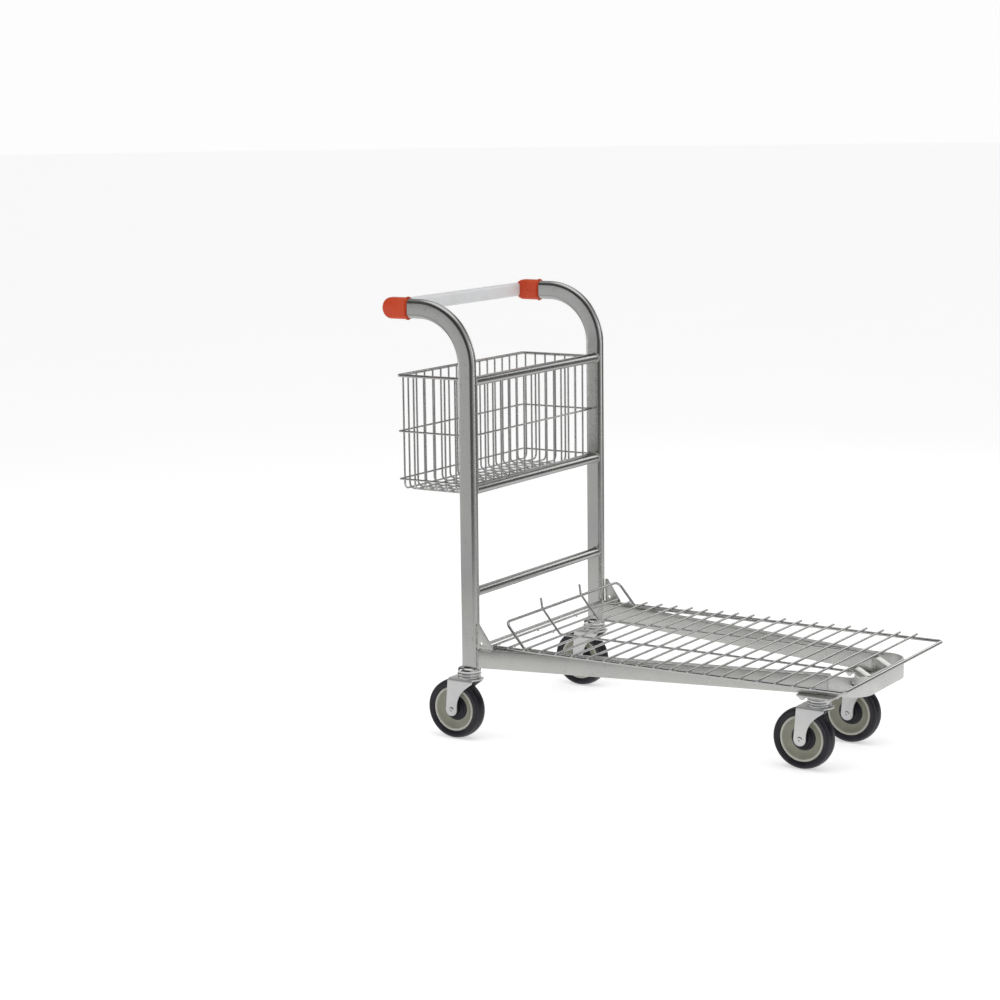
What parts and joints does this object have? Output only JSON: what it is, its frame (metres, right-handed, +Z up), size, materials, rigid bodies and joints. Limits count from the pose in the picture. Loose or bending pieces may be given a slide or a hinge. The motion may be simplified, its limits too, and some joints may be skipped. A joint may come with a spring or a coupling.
{
  "type": "luggage trolley",
  "caption": "Nesting luggage trolley: bent steel uprights with an orange-capped handle bar and wire basket, a hinged wire deck on a tapered chassis, and swivel casters.",
  "frame": {"origin": "on the floor, under the middle of the trolley's bounding box", "axes": "+X forwards, from the handle to the front of the deck, +Y to the left, +Z up"},
  "size_m": [1.0295, 0.5678, 0.91],
  "materials": {
    "galvanised_steel": "bright zinc plated",
    "zinc_plate": "light zinc plated",
    "zinc_wire": "zinc plated wire",
    "orange_plastic": "moulded satin",
    "grey_sleeve": "satin",
    "tyre_rubber": "matt, finely ribbed",
    "rim_plastic": "moulded",
    "hub_plastic": "moulded"
  },
  "bodies": {
    "frame": {"upright_left": "galvanised_steel", "upright_right": "galvanised_steel", "cross_tube_low": "galvanised_steel", "cross_tube_floor": "galvanised_steel", "cross_tube_top": "galvanised_steel", "handle_cap_left": "orange_plastic", "handle_cap_right": "orange_plastic", "handle_bar": "grey_sleeve", "basket_side_left": "zinc_wire", "basket_side_right": "zinc_wire", "basket_rear": "zinc_wire", "basket_front": "zinc_wire", "basket_floor": "zinc_wire", "rail_left": "zinc_plate", "rail_right": "zinc_plate", "gusset_left": "zinc_plate", "gusset_right": "zinc_plate", "front_bow": "zinc_plate", "hinge_pin": "galvanised_steel", "caster_plate_left": "zinc_plate", "caster_plate_right": "zinc_plate", "head_rear_left": "galvanised_steel", "head_rear_right": "galvanised_steel", "head_front_left": "galvanised_steel", "head_front_right": "galvanised_steel"},
    "deck": {"deck_frame": "zinc_wire", "deck_grid": "zinc_wire", "stop_loop": "zinc_wire", "middle_wire_left": "zinc_wire", "middle_wire_right": "zinc_wire", "hinge_lug_left": "galvanised_steel", "hinge_lug_right": "galvanised_steel"},
    "caster_rear_left": {"fork_rear_left": "galvanised_steel", "axle_rear_left": "galvanised_steel"},
    "wheel_rear_left": {"tyre_rear_left": "tyre_rubber", "rim_rear_left": "rim_plastic", "hub_rear_left": "hub_plastic"},
    "caster_rear_right": {"fork_rear_right": "galvanised_steel", "axle_rear_right": "galvanised_steel"},
    "wheel_rear_right": {"tyre_rear_right": "tyre_rubber", "rim_rear_right": "rim_plastic", "hub_rear_right": "hub_plastic"},
    "caster_front_left": {"fork_front_left": "galvanised_steel", "axle_front_left": "galvanised_steel"},
    "wheel_front_left": {"tyre_front_left": "tyre_rubber", "rim_front_left": "rim_plastic", "hub_front_left": "hub_plastic"},
    "caster_front_right": {"fork_front_right": "galvanised_steel", "axle_front_right": "galvanised_steel"},
    "wheel_front_right": {"tyre_front_right": "tyre_rubber", "rim_front_right": "rim_plastic", "hub_front_right": "hub_plastic"}
  },
  "joints": [
    {"name": "deck_lift", "type": "hinge", "parent": "frame", "child": "deck", "pos_m": [0.47325, 0, 0.18], "axis": [0, 1, 0], "range_deg": [0, 30]},
    {"name": "swivel_rear_left", "type": "hinge", "parent": "frame", "child": "caster_rear_left", "pos_m": [-0.31975, 0.258, 0.131], "axis": [0, 0, 1], "continuous": true},
    {"name": "spin_rear_left", "type": "hinge", "parent": "caster_rear_left", "child": "wheel_rear_left", "pos_m": [-0.35175, 0.258, 0.0625], "axis": [0, 1, 0], "continuous": true},
    {"name": "swivel_rear_right", "type": "hinge", "parent": "frame", "child": "caster_rear_right", "pos_m": [-0.31975, -0.258, 0.131], "axis": [0, 0, 1], "continuous": true},
    {"name": "spin_rear_right", "type": "hinge", "parent": "caster_rear_right", "child": "wheel_rear_right", "pos_m": [-0.35175, -0.258, 0.0625], "axis": [0, 1, 0], "continuous": true},
    {"name": "swivel_front_left", "type": "hinge", "parent": "frame", "child": "caster_front_left", "pos_m": [0.40125, 0.113, 0.131], "axis": [0, 0, 1], "continuous": true},
    {"name": "spin_front_left", "type": "hinge", "parent": "caster_front_left", "child": "wheel_front_left", "pos_m": [0.36925, 0.113, 0.0625], "axis": [0, 1, 0], "continuous": true},
    {"name": "swivel_front_right", "type": "hinge", "parent": "frame", "child": "caster_front_right", "pos_m": [0.40125, -0.113, 0.131], "axis": [0, 0, 1], "continuous": true},
    {"name": "spin_front_right", "type": "hinge", "parent": "caster_front_right", "child": "wheel_front_right", "pos_m": [0.36925, -0.113, 0.0625], "axis": [0, 1, 0], "continuous": true}
  ]
}
